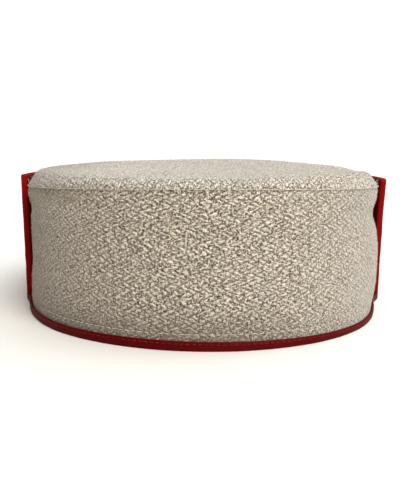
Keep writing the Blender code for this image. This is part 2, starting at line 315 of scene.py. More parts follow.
def woven(along, up, soft):
    """(relief in metres, weave attribute) of tweed at millimetres of cloth. soft is 1 where felted flat."""
    bent_along = along + 0.60 * soft_noise(along, up, 11.0, 1) + 0.28 * soft_noise(along, up, 1.9, 2)
    bent_up = up + 0.50 * soft_noise(along, up, 13.0, 3) + 0.22 * soft_noise(along, up, 1.7, 4)
    phase, yarns = chevrons(bent_along, bent_up)
    rib = 0.5 + 0.5 * np.cos(math.tau * phase)
    yarn = 1 - (2 * (yarns % 1) - 1) ** 4
    proud = 0.8 + 0.3 * soft_noise(along, up * 1.4, 0.9, 5)
    relief = RIB_RELIEF * (rib**2 * (0.45 + 0.55 * yarn) * proud - 0.35) * (1 - 0.6 * soft)
    relief = relief + SLUB_RELIEF * (soft_noise(along, up, 0.60, 6) + 0.15 * soft_noise(along, up, 2.7, 7))
    return relief, np.stack(np.broadcast_arrays(bent_along, bent_up, soft), -1)


def zipped(low, high):
    """Triangles between two rows of vertex numbers that run side by side, of any lengths."""
    on_low, on_high = len(low) - 1, len(high) - 1
    low_steps = (np.arange(on_low) + 0.5) / max(on_low, 1)
    high_steps = (np.arange(on_high) + 0.5) / max(on_high, 1)
    steps = np.concatenate([low_steps, high_steps])
    of_low = (np.arange(on_low + on_high) < on_low)[np.argsort(steps, kind="stable")]
    i = np.cumsum(of_low) - of_low
    j = np.cumsum(~of_low) - ~of_low
    third = np.where(of_low, low[np.minimum(i + 1, on_low)], high[np.minimum(j + 1, on_high)])
    return np.stack([low[i], third, high[j]], -1)


def make_piece(name, points, faces, finish, nodes, smooth=True, weave=None):
    """One named piece on the cap's body, which stands for those nodes of the solids."""
    mesh = bpy.data.meshes.new(name)
    mesh.from_pydata(np.asarray(points), [], faces)
    mesh.polygons.foreach_set("use_smooth", np.broadcast_to(smooth, len(mesh.polygons)))
    if weave is not None:
        mesh.attributes.new("weave", "FLOAT_VECTOR", "POINT").data.foreach_set(
            "vector", np.asarray(weave, np.float32).ravel()
        )
    mesh.materials.append(finish)
    mesh.update()
    piece = bpy.data.objects.new(name, mesh)
    bpy.context.scene.collection.objects.link(piece)
    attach(piece, "root")
    if nodes:
        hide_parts(*nodes)
    return piece


def make_cloth(name, outer, inner, finish, nodes):
    """A closed cloth between rows of its outer and inner face. Each row is (points, weave)."""
    numbers, count = [], 0
    for points, _ in outer + inner:
        numbers.append(np.arange(count, count + len(points)))
        count += len(points)
    out, within = numbers[: len(outer)], numbers[len(outer) :]
    faces = [zipped(low, high) for low, high in pairwise(out)]
    faces += [zipped(low, high)[:, ::-1] for low, high in pairwise(within)]
    soft = sum(map(len, faces))
    ends = [np.array([row[end] for row in rows]) for end in (0, -1) for rows in (out, within)]
    faces += [zipped(within[0], out[0]), zipped(out[-1], within[-1])]
    faces += [zipped(ends[0], ends[1]), zipped(ends[3], ends[2])]
    faces = np.concatenate(faces)
    points = np.concatenate([points for points, _ in outer + inner])
    weave = np.concatenate([weave for _, weave in outer + inner])
    return make_piece(name, points, faces, finish, nodes, np.arange(len(faces)) < soft, weave)


def felted(direction):
    """How felted the wall is: 0 at the middle of the back, near 1 at the sides."""
    return np.clip(1.3 * np.abs(np.cos(direction)) - 0.28, 0.0, 0.95)


def wall_row(direction, share, relief_share):
    """(points, normals, weave) of the wall's outer face along directions, at a share of its height."""
    top = seam_height(direction) - SEAM_OPEN
    height = HEM_LIFT + share * (top - HEM_LIFT)
    relief, weave = woven(girth_to(direction), (height - SEAM_HEIGHT) / MM, felted(direction))
    above_tape = np.clip((height - TAPE_DEEP + 0.6 * MM) / (1.2 * MM), 0.0, 1.0)
    shown = above_tape * np.clip((top - height) / (0.7 * MM), 0.25, 1.0)
    out = wall_out(direction, height) + relief * shown * relief_share
    out = out - SEAM_TUCK * fade(top - height, 1.1 * MM)
    out = out - STITCH_TUCK * fade(height - TAPE_DEEP - STITCH_ABOVE_TAPE, 0.8 * MM)
    plan, normal = oval(direction, out)
    return standing(plan, height), level(normal), weave


def make_wall(name, start, end, columns, rows, relief_share, nodes=()):
    """One length of the side wall, fine outside and plain inside."""
    outer, inner = [], []
    for share in np.linspace(0, 1, rows):
        points, _, weave = wall_row(np.linspace(start, end, columns), share, relief_share)
        outer.append((points, weave))
    for share in np.linspace(0, 1, 22):
        points, normal, weave = wall_row(np.linspace(start, end, max(columns // 6, 24)), share, 0.0)
        inner.append((points - normal * WOOL, weave))
    return make_cloth(name, outer, inner, tweed, nodes)


def shoulder_rows(count):
    """(inset, up, length) of evenly spaced rows of the shoulder, seam to flat."""
    ring = np.arange(len(SHOULDER_PROFILE))
    dense = np.linspace(0, ring[-1], 600)
    inset = through(np.stack([ring, SHOULDER_PROFILE[:, 0]], 1), dense)
    up = through(np.stack([ring, SHOULDER_PROFILE[:, 1]], 1), dense)
    steps = np.hypot(np.diff(inset) * SHOULDER_INSET, np.diff(up) * SHOULDER_RISE)
    length = np.concatenate([[0.0], np.cumsum(steps)])
    even = np.linspace(0, length[-1], count)
    return np.interp(even, length, inset), np.interp(even, length, up), even


def top_rows(start, end, columns, shoulder_count, rings, thickness, relief_share):
    """Rows of the top's face, from the seam over the shoulder to the middle of the flat."""
    direction = np.linspace(start, end, columns + 1)
    insets, ups, lengths = shoulder_rows(shoulder_count)
    bare = np.stack([standing(*shoulder(direction, inset, up)) for inset, up in zip(insets, ups)])
    normals = np.cross(np.gradient(bare, axis=1), np.gradient(bare, axis=0))
    normals /= np.linalg.norm(normals, axis=-1, keepdims=True)
    edge, _ = shoulder(direction, 1.0, 1.0)
    outward = oval(direction, 0.0)[1]
    rows = []
    for points, normal, length in zip(bare, normals, lengths):
        cloth = (edge + outward * (lengths[-1] - length)) / MM
        relief, weave = woven(cloth[:, 1], cloth[:, 0], 0.6 * felted(direction))
        lift = relief * relief_share * np.clip(length / (0.8 * MM), 0.25, 1.0) - thickness
        lift = lift + SEAM_RIDGE * fade(length - 0.4 * MM, 0.7 * MM) * relief_share
        rows.append((points + normal * lift[:, None], weave))
    for ring in range(rings - 1, -1, -1):
        direction = np.linspace(start, end, max(round(columns * ring / rings), 0) + 1)
        plan = shoulder(direction, 1.0, 1.0)[0] * (ring / rings)
        relief, weave = woven(plan[:, 1] / MM, plan[:, 0] / MM, np.full(len(plan), 0.55))
        rows.append((standing(plan, flat_height(plan) + relief * relief_share - thickness), weave))
    return rows


def make_top(name, start, end, nodes=()):
    outer = top_rows(start, end, 600, 31, 150, 0.0, 1.0)
    inner = top_rows(start, end, 90, 9, 12, WOOL, 0.0)
    return make_cloth(name, outer, inner, tweed, nodes)


# Tape, band and thread


def tape_section(inner, outer, leg, inner_fold=0.7 * MM):
    """A rounded tape folded round an edge, as (across, deep), its outer leg leg deep."""
    def turn(across, deep, radius, first, last, count):
        angles = np.radians(np.linspace(first, last, count))
        return [(across + radius * math.cos(a), deep + radius * math.sin(a)) for a in angles]

    fold, tip = 0.7 * MM, TAPE / 2
    points = turn(inner + tip, TAPE_DEEP - tip, tip, 90, 180, 4)
    points += turn(inner + inner_fold, inner_fold, inner_fold, 180, 270, 5)
    points += turn(outer - fold, fold, fold, 270, 360, 5)
    points += [(outer, fold + (leg - tip - fold) * share) for share in (0.33, 0.66) if leg > 2 * TAPE]
    points += turn(outer - tip, max(leg - tip, fold), tip, 0, 180, 7)
    points += [(outer - TAPE, TAPE), (inner + TAPE, TAPE)]
    points += turn(inner + tip, TAPE_DEEP - tip, tip, 0, 90, 4)[:-1]
    return np.array(points)


def section_length(section):
    steps = np.linalg.norm(np.diff(section, axis=0), axis=1)
    return np.concatenate([[0.0], np.cumsum(steps)]) / MM


def make_tape(name, rows, weave, closed, finish, nodes):
    """A tape from rows of section points, its ends joined or capped."""
    count, around = len(rows), len(rows[0])
    points = np.concatenate(rows)
    faces = []
    for i in range(count if closed else count - 1):
        low, high = i * around, (i + 1) % count * around
        faces += [(low + j, low + (j + 1) % around, high + (j + 1) % around, high + j) for j in range(around)]
    if not closed:
        faces.append(tuple(reversed(range(around))))
        faces.append(tuple(range(len(points) - around, len(points))))
    piece = make_piece(name, points, faces, finish, nodes, True, np.concatenate(weave))
    piece.data.set_sharp_from_angle(angle=math.radians(60))
    return piece


def make_rim_tape():
    """The tape under the rim, which swells out to the band's ends and runs on under it in front."""
    behind = WOOL / 2 + GAP + TAPE
    first, last = math.pi - BAND_PAST_SIDE, math.tau + BAND_PAST_SIDE
    swells = SWELLS_OVER / (CROWN_WIDTH / 2)
    rows, weaves = [], []
    inner_turn = GAP / (CROWN_WIDTH / 2 + BAND_TOP_OUT)
    front = np.linspace(first + inner_turn, last - inner_turn, 190)
    back = np.linspace(last - inner_turn + 0.0005, first + math.tau + inner_turn - 0.0005, 330)
    for direction in np.concatenate([front, back])[::-1]:
        in_front = direction <= front[-1]
        past = min(abs(direction - last), abs(first + math.tau - direction)) / swells
        swell = 1.0 if in_front else float(through(SWELL_PROFILE, min(past, 1.0)))
        leg = TAPE + LIP if in_front else float(tape_deep(direction))
        middle = float(hem_out(np.array(direction))) - WOOL / 2
        plan, normal = oval(np.array(direction), middle)
        same_way = direction % math.tau if direction > last else direction
        to_band = float(band_outs(np.array(same_way))[0]) + BAND_HALF - middle
        section = tape_section(-behind, behind + max(swell, 0.0) * (to_band - behind), leg)
        along = float(girth_to(direction))
        pucker = 0.05 * MM * math.sin(along / TAPE_STITCH * math.tau)
        pucker += 0.10 * MM * float(soft_noise(along, 0.0, 6.0, 21))
        if not in_front:
            section[9:18, 0] += pucker
            section[11:18, 1] += 0.18 * MM * float(soft_noise(along, 50.0, 3.4, 22))
        place = standing(plan, 0.0)
        across = level(normal)
        rows.append(place + section[:, :1] * across + section[:, 1:] * np.array([0.0, 0.0, 1.0]))
        weave = (np.full(len(section), along), section_length(section), section[:, 1] / MM)
        weaves.append(np.stack(weave, -1))
    return make_tape("rim_binding", match_counts(rows), match_counts(weaves), True, rim_ribbon, ["rim_tape"])


def match_counts(rows):
    """Rows made to hold as many points as the longest, by repeating points of the outer leg along it."""
    most = max(map(len, rows))
    matched = []
    for row in rows:
        lacking = most - len(row)
        share = np.linspace(0, 1, lacking + 2)[1:-1, None]
        added = row[13] * (1 - share) + row[14] * share
        matched.append(np.concatenate([row[:14], added, row[14:]]))
    return matched


def make_band_tape():
    """The tape up one end of the band, along its top edge and down the other end."""
    first, last = math.pi - BAND_PAST_SIDE, math.tau + BAND_PAST_SIDE
    reach = CROWN_WIDTH / 2 + BAND_TOP_OUT
    stations = []
    for end, way, rounding in ((first, 1.0, 2.4 * MM), (last, -1.0, 1.2 * MM)):
        side = []
        top = float(band_top(end))
        corner, across = band_middle(end, top)
        beside, _ = band_middle(end + way * TAPE_DEEP / reach, top)
        below, _ = band_middle(end, top - TAPE_DEEP)
        hub = beside + below - corner
        for height in np.linspace(BAND_BASE, top - rounding, 60)[:-1]:
            place, out = band_middle(end, height)
            within, _ = band_middle(end + way * TAPE_DEEP / reach, height)
            deep = (within - place) / TAPE_DEEP
            near = max(0.0, 1 - (top - height) / (2 * TAPE_DEEP))
            deep = deep * (1 - near) + (hub - place) / TAPE_DEEP * near if height > top - TAPE_DEEP else deep
            side.append((place, out, deep))
        for turn in np.linspace(0, math.pi / 2, 7):
            inward = (beside - corner) / TAPE_DEEP * rounding * (1 - math.cos(turn))
            down = (below - corner) / TAPE_DEEP * rounding * (1 - math.sin(turn))
            place = corner + inward + down
            side.append((place, across, (hub - place) / TAPE_DEEP))
        stations.append((side, rounding))
    (start, start_round), (finish, finish_round) = stations
    along_top = np.linspace(first + start_round / reach, last - finish_round / reach, 240)[1:-1]
    edge = []
    for direction in along_top:
        place, out = band_middle(direction, band_top(direction))
        within, _ = band_middle(direction, band_top(direction) - TAPE_DEEP)
        deep = (within - place) / TAPE_DEEP
        near = max(0.0, 1 - min(direction - first, last - direction) * reach / TAPE_DEEP)
        if near > 0:
            beside_end = first + TAPE_DEEP / reach if direction < math.pi * 1.5 else last - TAPE_DEEP / reach
            hub_place, _ = band_middle(beside_end, band_top(direction) - TAPE_DEEP)
            deep = (hub_place - place) / TAPE_DEEP
        edge.append((place, out, deep))
    section = tape_section(-BAND_HALF, BAND_HALF, TAPE_DEEP, 2.0 * MM)
    lengths = section_length(section)
    rows, weaves, along, before = [], [], 0.0, None
    for place, across, deep in start + edge + finish[::-1]:
        along += 0.0 if before is None else float(np.linalg.norm(place - before)) / MM
        before = place
        ripple = 0.10 * MM * float(soft_noise(along, 0.0, 5.0, 31))
        ripple += 0.04 * MM * math.sin(along / TAPE_STITCH * math.tau)
        shape = section.copy()
        shape[9:16, 0] += ripple
        rows.append(place + shape[:, :1] * across + shape[:, 1:] * deep)
        weaves.append(np.stack([np.full(len(shape), along), lengths, shape[:, 1] / MM], -1))
    return make_tape("band_binding", rows, weaves, False, band_ribbon, ["band_tape"])


def make_band():
    """The velvet band, thinned where the tape holds its edges."""
    reach = CROWN_WIDTH / 2 + BAND_TOP_OUT
    inset = (TAPE + GAP) / reach
    first, last = math.pi - BAND_PAST_SIDE + inset, math.tau + BAND_PAST_SIDE - inset
    direction = np.linspace(first, last, 300)
    deep = TAPE_DEEP - TAPE - GAP
    faces = {1.0: [], -1.0: []}
    for share in np.concatenate([np.linspace(0, 0.88, 44), np.linspace(0.89, 1, 16)]):
        height = BAND_BASE + share * (band_top(direction) - TAPE - GAP - BAND_BASE)
        from_end = np.minimum(direction - first, last - direction) * reach - deep
        from_top = band_top(direction) - TAPE_DEEP - height
        full = np.clip(np.minimum(from_end, from_top) / BAND_THINS_OVER, 0.0, 1.0)
        full = full * full * (3 - 2 * full)
        middle, normal = band_middle(direction, height)
        along = girth_to(direction)
        weave = np.stack([along, height / MM, full], -1)
        nap = 0.12 * MM * soft_noise(along, height / MM, 9.0, 41) * full
        for way, rows in faces.items():
            half = (BAND_EDGE + (BAND - BAND_EDGE) * full) / 2 + (nap if way > 0 else 0.0)
            rows.append((middle + normal * (way * half)[:, None], weave))
    return make_cloth("velvet_band", faces[1.0], faces[-1.0], velvet, ["front_band"])


def make_stitches(name, places, normals, runs, thick, sides, finish):
    """Stitches that rise from the cloth at places, each along its own run."""
    half = ((-0.5, 0.30, -0.9), (-0.40, 0.85, -0.15))
    rings = (*half, (0.0, 1.0, 0.25), *((-along, share, lift) for along, share, lift in reversed(half)))
    points, faces = [], []
    for place, normal, run in zip(places, normals, runs):
        start = len(points)
        side = np.cross(normal, run)
        side /= np.linalg.norm(side)
        for along, share, lift in rings:
            for k in range(sides):
                angle = math.tau * k / sides
                spread = side * math.cos(angle) + normal * math.sin(angle)
                points.append(place + run * along + normal * lift * thick / 2 + spread * share * thick / 2)
        for ring in range(len(rings) - 1):
            low = start + ring * sides
            for k in range(sides):
                n = (k + 1) % sides
                faces.append((low + k, low + n, low + sides + n, low + sides + k))
        faces.append(tuple(start + k for k in reversed(range(sides))))
        faces.append(tuple(start + (len(rings) - 1) * sides + k for k in range(sides)))
    return make_piece(name, np.array(points), faces, finish, ())


def evenly(path, pitch):
    """(places, runs) every pitch along a path of points, a run being one pitch long."""
    steps = np.linalg.norm(np.diff(path, axis=0), axis=1)
    length = np.concatenate([[0.0], np.cumsum(steps)])
    at = np.arange(pitch / 2, length[-1], pitch)

    def read(where):
        return np.stack([np.interp(where, length, path[:, axis]) for axis in range(3)], -1)

    return read(at), read(at + pitch / 2) - read(at - pitch / 2)


def outward_of(places):
    """Level outward normals of the oval beside places."""
    flat = (places - CAP_MIDDLE)[:, :2]
    return level(oval(np.arctan2(flat[:, 1], flat[:, 0]), 0.0)[1])


def make_hem_stitches():
    """The row of stitches that shows on the wool above the rim tape."""
    direction = np.linspace(math.radians(-3), math.radians(183), 500)
    height = TAPE_DEEP + STITCH_ABOVE_TAPE
    plan, _ = oval(direction, wall_out(direction, height) - 0.1 * MM)
    places, runs = evenly(standing(plan, height), HEM_STITCH)
    outward = outward_of(places)
    return make_stitches("hem_stitches", places, outward, runs * 0.72, 0.42 * MM, 8, wool_thread)


def make_seam_stitches():
    """Pale stitches along the ridge where the top is sewn to the wall."""
    direction = np.linspace(0, math.tau, 900)
    plan, height = shoulder(direction, 0.0, 0.02)
    places, runs = evenly(standing(plan, height), SEAM_STITCH)
    outward = outward_of(places)
    along = girth_to(np.arctan2(outward[:, 1], outward[:, 0]))
    proud = -0.02 + 0.14 * soft_noise(along, 0.0, 7.0, 61) - 0.12 * outward[:, 0]
    places = places + outward * (proud * MM)[:, None]
    return make_stitches("seam_stitches", places, outward, runs * 0.84, 0.36 * MM, 8, wool_thread)


def make_tape_stitches():
    """The machine stitches near the upper edge of the rim tape, behind."""
    direction = np.linspace(math.radians(10), math.radians(170), 500)
    middle = hem_out(direction) - WOOL / 2
    plan, _ = oval(direction, middle + WOOL / 2 + GAP + TAPE)
    places, runs = evenly(standing(plan, tape_deep(direction) * 0.74), TAPE_STITCH * MM)
    outward = outward_of(places)
    return make_stitches("binding_stitches", places, outward, runs * 0.7, 0.26 * MM, 6, red_thread)


def make_fuzz():
    """Loose fibres of the wool, each a thin bent needle that leaves the cloth."""
    random = np.random.default_rng(51)
    count = 13000
    on_wall = random.random(count) < 0.62
    direction = random.uniform(BACK_FROM, BACK_TO, count)
    height = TAPE_DEEP + random.uniform(0.5 * MM, SEAM_HEIGHT - TAPE_DEEP - 0.5 * MM, count)
    plan, plan_normal = oval(direction, wall_out(direction, np.minimum(height, seam_height(direction) - GAP)))
    places, normals = standing(plan, height), level(plan_normal)
    insets, ups, _ = shoulder_rows(60)
    row = random.integers(0, 60, count)
    around = random.uniform(0, math.tau, count)
    over, over_height = shoulder(around, insets[row], ups[row])
    lean = (row / 59.0)[:, None]
    shoulder_normal = level(oval(around, 0.0)[1]) * (1 - lean) + np.array([0.0, 0.0, 1.0]) * lean
    flat_share = np.sqrt(random.random(count))
    on_flat = random.random(count) < 0.45
    flat_plan = shoulder(around, 1.0, 1.0)[0] * flat_share[:, None]
    flat_places = standing(flat_plan, flat_height(flat_plan))
    top_places = np.where(on_flat[:, None], flat_places, standing(over, over_height))
    top_normals = np.where(on_flat[:, None], np.array([0.0, 0.0, 1.0]), shoulder_normal)
    places = np.where(on_wall[:, None], places, top_places)
    normals = np.where(on_wall[:, None], normals, top_normals)
    normals /= np.linalg.norm(normals, axis=1, keepdims=True)
    wild = random.normal(size=(count, 3))
    lying = wild - normals * np.sum(wild * normals, axis=1, keepdims=True)
    lying /= np.linalg.norm(lying, axis=1, keepdims=True)
    length = random.uniform(0.6, 1.7, count)[:, None] * MM
    radius = random.uniform(0.030, 0.055, count)[:, None] * MM
    rise = random.uniform(0.15, 0.75, count)[:, None]
    side = np.cross(normals, lying)
    bend = random.uniform(-0.35, 0.35, count)[:, None] * side
    base = places - normals * 0.1 * MM
    middle = base + length * 0.5 * (lying + bend + normals * rise)
    tip = base + length * (lying * 0.95 - bend + normals * rise * 0.8)
    points = np.empty((count, 7, 3))
    for k in range(3):
        angle = math.tau * k / 3
        spread = normals * math.cos(angle) + side * math.sin(angle)
        points[:, k] = base + spread * radius
        points[:, 3 + k] = middle + spread * radius * 0.9
    points[:, 6] = tip
    one = [(0, 1, 2)]
    for k in range(3):
        n = (k + 1) % 3
        one += [(k, 3 + k, 3 + n), (k, 3 + n, n), (3 + k, 6, 3 + n)]
    faces = (np.array(one)[None] + 7 * np.arange(count)[:, None, None]).reshape(-1, 3)
    shade = np.repeat(random.random(count), 7)
    weave = np.stack([shade, shade, shade], -1)
    return make_piece("wool_fuzz", points.reshape(-1, 3), faces, fibre, (), True, weave)


# Finishes


class Signal:
    """One socket of a finish. Arithmetic on it adds Math nodes."""

    def __init__(self, recipe, socket):
        self.recipe = recipe
        self.socket = socket

    def math(self, operation, *values):
        return self.recipe.node("Math", {"operation": operation}, dict(enumerate(values)))

    def __add__(self, other):
        return self.math("ADD", self, other)

    def __radd__(self, other):
        return self.math("ADD", other, self)

    def __sub__(self, other):
        return self.math("SUBTRACT", self, other)

    def __rsub__(self, other):
        return self.math("SUBTRACT", other, self)

    def __mul__(self, other):
        return self.math("MULTIPLY", self, other)

    def __rmul__(self, other):
        return self.math("MULTIPLY", other, self)

    def __truediv__(self, other):
        return self.math("DIVIDE", self, other)


class Recipe:
    """The nodes of one finish."""

    def __init__(self, name, **constants):
        self.material = bpy.data.materials.new(name)
        self.material.use_nodes = True
        self.tree = self.material.node_tree
        self.shader = self.tree.nodes["Principled BSDF"]
        for socket, value in constants.items():
            self.shader.inputs[socket.replace("_", " ")].default_value = value

    def node(self, kind, settings=None, sockets=None, out=0):
        """A node of that kind, its settings made first, then its sockets given values or signals."""
        made = self.tree.nodes.new("ShaderNode" + kind)
        for setting, value in (settings or {}).items():
            if setting == "stops":
                for stop, (place, colour) in enumerate(value):
                    mark = made.color_ramp.elements[stop] if stop < 2 else made.color_ramp.elements.new(place)
                    mark.position, mark.color = place, (*colour, 1.0)
            else:
                setattr(made, setting, value)
        for socket, value in (sockets or {}).items():
            if isinstance(value, Signal):
                self.tree.links.new(value.socket, made.inputs[socket])
            else:
                made.inputs[socket].default_value = value
        return Signal(self, made.outputs[out])

    def weave(self):
        """(along, up, third) signals of the weave kept on the vertices."""
        kept = self.node("Attribute", {"attribute_type": "GEOMETRY", "attribute_name": "weave"}, out="Vector")
        return [self.node("SeparateXYZ", None, {0: kept}, axis) for axis in range(3)]

    def at(self, x, y, z=0.0):
        return self.node("CombineXYZ", None, {0: x, 1: y, 2: z})

    def noise(self, place, scale, detail=2.0, rough=0.5):
        return self.node(
            "TexNoise",
            {"noise_dimensions": "3D"},
            {"Vector": place, "Scale": scale, "Detail": detail, "Roughness": rough},
        )

    def between(self, value, low, high):
        """0 below low and 1 above high, smoothly. low may be the higher."""
        return self.node(
            "MapRange",
            {"interpolation_type": "SMOOTHSTEP"},
            {"Value": value, "From Min": low, "From Max": high},
        )

    def blend(self, share, first, second, way="MIX"):
        colours = [(*c, 1.0) if isinstance(c, tuple) else c for c in (first, second)]
        return self.node(
            "Mix", {"data_type": "RGBA", "blend_type": way}, {0: share, 6: colours[0], 7: colours[1]}, 2
        )

    def finish(self, colour=None, roughness=None, height=None, strength=0.5, distance=0.0002):
        """Joins what varies to the shader and gives the material."""
        if height is not None:
            bump = self.node("Bump", None, {"Strength": strength, "Distance": distance, "Height": height})
            self.tree.links.new(bump.socket, self.shader.inputs["Normal"])
        for socket, signal in (("Base Color", colour), ("Roughness", roughness)):
            if signal is not None:
                self.tree.links.new(signal.socket, self.shader.inputs[socket])
        return self.material


def tweed_finish():
    """Undyed wool tweed: pale yarns over darker ones in a herringbone, with dark flecks. Its rib crests are
    painted lighter, partly as painted highlight, and its hollows darker, partly as painted shade; painted
    shade also darkens the lower wall and a band below the seam on the +X side.
    """
    recipe = Recipe(
        "herringbone_tweed", Roughness=0.95, Specular_IOR_Level=0.1, Sheen_Weight=0.30, Sheen_Roughness=0.5
    )
    along, up, soft = recipe.weave()
    zig = recipe.node("Math", {"operation": "PINGPONG"}, {0: up, 1: CHEVRON})
    phase = along / RIB_ALONG + zig / RIB_UP
    rib = recipe.node("Math", {"operation": "COSINE"}, {0: phase * math.tau}) * 0.5 + 0.5
    number = recipe.node("Math", {"operation": "FLOOR"}, {0: phase + 0.5})
    run = along * math.cos(RIB_SLOPE) - zig * math.sin(RIB_SLOPE)
    band = recipe.node("Math", {"operation": "FLOOR"}, {0: up / CHEVRON})
    yarns = run / YARN_LONG + number * YARN_SHIFT + band * BAND_SHIFT
    yarn = recipe.node("Math", {"operation": "PINGPONG"}, {0: yarns, 1: 0.5}) * 2
    which = recipe.at(number, recipe.node("Math", {"operation": "FLOOR"}, {0: yarns}), band)
    tone = recipe.node("TexWhiteNoise", {"noise_dimensions": "3D"}, {"Vector": which})
    flat = recipe.at(along, up)
    strands = recipe.noise(recipe.at(phase * 3.7, run * 0.75, up * 0.15), 1.0, 1.0, 0.5)
    hair = recipe.noise(recipe.at(phase * 5.0, run * 1.3, up * 0.5), 1.0, 1.0, 0.6)
    tuft = recipe.noise(flat, 1.7, 0.0, 0.5)
    grain = recipe.noise(recipe.at(along, up, 7.0), 2.2, 0.0, 0.5)
    cloud = recipe.noise(flat, 0.11, 2.0, 0.5)
    calm = 1 - soft * 0.75
    top = recipe.between(yarn, 0.0, 0.55) * rib
    fine = (strands - 0.5) * 1.9 + (grain - 0.5) * 1.9 + (tuft - 0.5) * 1.5
    # Rib crests are painted lighter: partly paler yarn, partly painted highlight.
    light = fine + (top - 0.4) * 0.36 + (tone - 0.5) * 0.10
    lit = recipe.between(light * calm, -0.46, 0.46)
    body = recipe.blend(lit, (0.090, 0.067, 0.044), (0.415, 0.357, 0.272))
    pale = recipe.between(strands * 0.8 + hair * 0.7 + top * 0.28 + grain * 0.3, 1.02, 1.20) * calm
    body = recipe.blend(pale * 0.85, body, (0.640, 0.580, 0.480))
    # Low places of the weave are darkened: partly dark yarn, partly painted shade in the hollows between
    # yarns.
    dark_yarn_and_pit_shade = recipe.between(tuft + grain * 0.9 + top * 0.14, 0.88, 0.70)
    body = recipe.blend(dark_yarn_and_pit_shade * 0.85 * calm, body, (0.036, 0.026, 0.017))
    fleck = recipe.between(recipe.noise(recipe.at(along, up, 3.0), 0.75, 0.0, 0.4), 0.735, 0.775)
    body = recipe.blend(fleck * 0.9, body, (0.014, 0.011, 0.008))
    body = recipe.blend(recipe.between(cloud, 0.40, 0.65) * 0.12, body, (0.30, 0.27, 0.22))
    place = recipe.node("TexCoord", None, None, "Object")
    across, _, height = [recipe.node("SeparateXYZ", None, {0: place}, axis) for axis in range(3)]
    # Painted shade: the lower wall is darkened towards the hem over most of its width, standing for the shade
    # low on the wall.
    painted_low_shade = recipe.between(height, 0.024, 0.002) * recipe.between(across, -0.100, 0.0)
    painted_low_shade = painted_low_shade * recipe.between(across, 0.098, 0.070)
    body = recipe.blend(painted_low_shade * 0.64, body, (0.100, 0.078, 0.054))
    # Painted shade: a band just below the seam on the +X side is darkened, standing for the shade of the
    # shoulder's fold there.
    painted_shoulder_shade = recipe.between(height, 0.061, 0.066) * recipe.between(across, 0.040, 0.088)
    body = recipe.blend(painted_shoulder_shade * 0.60, body, (0.120, 0.098, 0.072))
    relief = top * 0.3 + strands * 0.6 + hair * 0.7 + grain * 1.3 + tuft * 0.8
    return recipe.finish(colour=body, height=relief, strength=0.8, distance=0.00050)


def fibre_finish():
    recipe = Recipe("wool_fibres", Roughness=0.9, Specular_IOR_Level=0.2)
    shade, _, _ = recipe.weave()
    black, cream = (0.03, 0.024, 0.018), (0.62, 0.57, 0.48)
    brown, beige = (0.16, 0.13, 0.09), (0.42, 0.37, 0.29)
    stops = ((0.0, black), (1.0, cream), (0.12, brown), (0.40, beige))
    return recipe.finish(colour=recipe.node("ValToRGB", {"stops": stops}, {0: shade}))


def thread_finish(name, dark, pale, roughness=0.8):
    """Spun thread, with its twist."""
    recipe = Recipe(name, Roughness=roughness, Specular_IOR_Level=0.2)
    place = recipe.node("TexCoord", None, None, "Object")
    fibres = recipe.noise(place, 2600.0, 2.0, 0.6)
    tone = recipe.noise(place, 260.0, 1.0, 0.5)
    body = recipe.blend(recipe.between(fibres * 0.6 + tone * 0.5, 0.4, 0.75), dark, pale)
    return recipe.finish(colour=body, height=fibres, strength=0.5, distance=0.0001)


def ribbon_finish(name, dark, red, worn, shaded=0.0):
    """Red woven tape with a fine rib across it. Its first millimetres on the inside, up to shaded, are
    painted darker, as painted shade between the tape and the wool.
    """
    recipe = Recipe(name, Specular_IOR_Level=0.05)
    along, across, _ = recipe.weave()
    rib = recipe.node("Math", {"operation": "SINE"}, {0: along * (math.tau / 0.55)}) * 0.5 + 0.5
    weft = recipe.node("Math", {"operation": "SINE"}, {0: across * (math.tau / 0.42)}) * 0.5 + 0.5
    threads = recipe.noise(recipe.at(along * 1.9, across * 7.0), 1.0, 3.0, 0.6)
    wear = recipe.noise(recipe.at(along, across), 0.35, 3.0, 0.6)
    body = recipe.blend(recipe.between(threads, 0.3, 0.7), dark, red)
    body = recipe.blend(recipe.between(wear, 0.52, 0.75) * 0.45, body, worn)
    # Painted shade in the gaps between the threads.
    gap = recipe.between(rib * weft, 0.35, 0.0)
    body = recipe.blend(gap * 0.30, body, tuple(share * 0.35 for share in dark))
    if shaded:
        # Painted shade: the tape's inner part is darkened, standing for the shade between the tape and the
        # wool.
        inside = recipe.between(across, shaded + 0.8, shaded)
        body = recipe.blend(inside * 0.85, body, tuple(share * 0.25 for share in dark))
    return recipe.finish(
        colour=body,
        roughness=recipe.between(threads, 0.2, 0.8) * 0.2 + 0.42,
        height=rib * 0.5 + weft * 0.4 + threads * 0.8,
        strength=0.45,
        distance=0.00016,
    )


